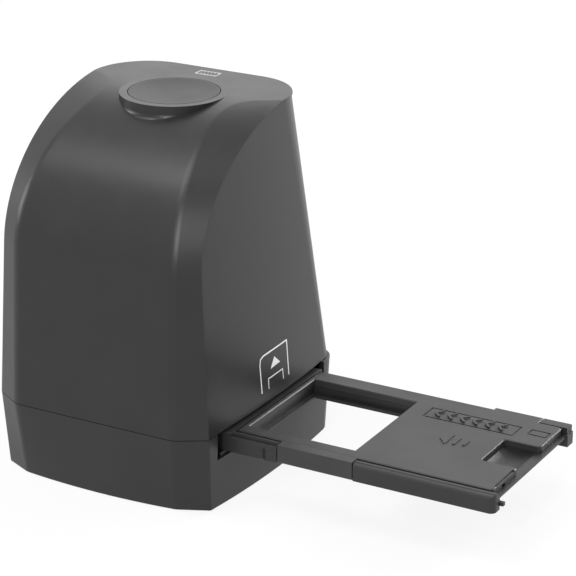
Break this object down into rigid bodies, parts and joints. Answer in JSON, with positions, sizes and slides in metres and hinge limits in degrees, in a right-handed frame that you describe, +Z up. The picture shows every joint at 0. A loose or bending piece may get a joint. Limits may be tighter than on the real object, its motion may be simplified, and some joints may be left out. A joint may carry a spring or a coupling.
{
  "type": "film negative scanner",
  "caption": "Desktop film negative scanner with a domed charcoal housing, a round scan button on top and a sliding film tray with a hinged frame cover.",
  "frame": {"origin": "middle of the base's underside, under the optical axis; z = 0 is the plane of the rubber feet's soles", "axes": "+X along the film tray, towards the end that sticks out; -Y is the front; +Z is up"},
  "size_m": [0.2104, 0.109, 0.1461],
  "materials": {
    "base_plastic": "fine matte texture",
    "cover_plastic": "soft satin",
    "side_plastic": "soft satin",
    "button_plastic": "satin",
    "tray_plastic": "fine matte texture",
    "tray_cover_plastic": "fine matte texture",
    "black_plastic": "moulded",
    "foot_rubber": "matte",
    "black_screw": "black oxide",
    "plated_screw": "zinc plated",
    "pin_steel": "drawn",
    "spring_steel": "drawn",
    "plunger_plastic": "moulded",
    "detent_plastic": "moulded",
    "reflector_plastic": "matte white",
    "diffuser_acrylic": "opal",
    "led_package": "phosphor gel",
    "anodised_barrel": "black anodised",
    "lens_glass": "coated",
    "filter_glass": "polished",
    "sensor_ceramic": "glazed window",
    "circuit_board": "solder resist",
    "chip_epoxy": "moulded epoxy",
    "connector_nylon": "moulded",
    "tin_plate": "tin plated",
    "socket_plastic": "moulded",
    "ribbon_cable": "smooth"
  },
  "bodies": {
    "chassis": {"base_shell": "base_plastic", "base_plate": "black_plastic", "rubber_feet": "foot_rubber", "case_screws": "black_screw", "front_cover": "cover_plastic", "rear_housing": "side_plastic", "button_board": "circuit_board", "button_board_screws": "plated_screw", "tact_switch": "black_plastic", "tray_guide": "black_plastic", "front_detent_spring": "spring_steel", "rear_detent_spring": "spring_steel", "film_gate": "black_plastic", "optics_tower": "black_plastic", "tower_screws": "plated_screw", "light_box": "reflector_plastic", "backlight_board": "circuit_board", "backlight_leds": "led_package", "diffuser": "diffuser_acrylic", "lens_holder": "black_plastic", "lens_holder_screws": "plated_screw", "lens_barrel": "anodised_barrel", "front_lens": "lens_glass", "rear_lens": "lens_glass", "ir_filter": "filter_glass", "image_sensor": "sensor_ceramic", "sensor_board": "circuit_board", "sensor_board_screws": "plated_screw", "main_board": "circuit_board", "main_board_screws": "plated_screw", "main_board_chips": "chip_epoxy", "board_connectors": "connector_nylon", "usb_shell": "tin_plate", "usb_insulator": "socket_plastic", "sensor_cable": "ribbon_cable", "button_cable": "ribbon_cable", "backlight_cable": "ribbon_cable"},
    "tray": {"tray_frame": "tray_plastic", "tray_hinge_pin": "pin_steel"},
    "tray_cover": {"tray_cover": "tray_cover_plastic"},
    "button": {"scan_button": "button_plastic"},
    "switch_plunger": {"tact_plunger": "plunger_plastic"},
    "front_detent": {"front_detent_plunger": "detent_plastic"},
    "rear_detent": {"rear_detent_plunger": "detent_plastic"}
  },
  "joints": [
    {"name": "tray_slide", "type": "slide", "parent": "chassis", "child": "tray", "axis": [1, 0, 0], "range_m": [-0.0777, 0.045]},
    {"name": "tray_cover_hinge", "type": "hinge", "parent": "tray", "child": "tray_cover", "pos_m": [0.086, -0.0338, 0.0273], "axis": [1, 0, 0], "range_deg": [0, 160]},
    {"name": "scan_button_press", "type": "slide", "parent": "chassis", "child": "button", "axis": [0, 0, -1], "range_m": [0, 0.0005], "stiffness_N_per_m": 1500, "springref_m": -0.0002},
    {"name": "switch_plunger_press", "type": "slide", "parent": "chassis", "child": "switch_plunger", "axis": [0, 0, -1], "range_m": [0, 0.0005]},
    {"name": "front_detent_press", "type": "slide", "parent": "chassis", "child": "front_detent", "axis": [0, -1, 0], "range_m": [0, 0.0006], "stiffness_N_per_m": 500, "springref_m": -0.0004},
    {"name": "rear_detent_press", "type": "slide", "parent": "chassis", "child": "rear_detent", "axis": [0, 1, 0], "range_m": [0, 0.0006], "stiffness_N_per_m": 500, "springref_m": -0.0004}
  ],
  "couplings": [
    {"joint": "switch_plunger_press", "follows": "scan_button_press", "ratio": 1}
  ]
}
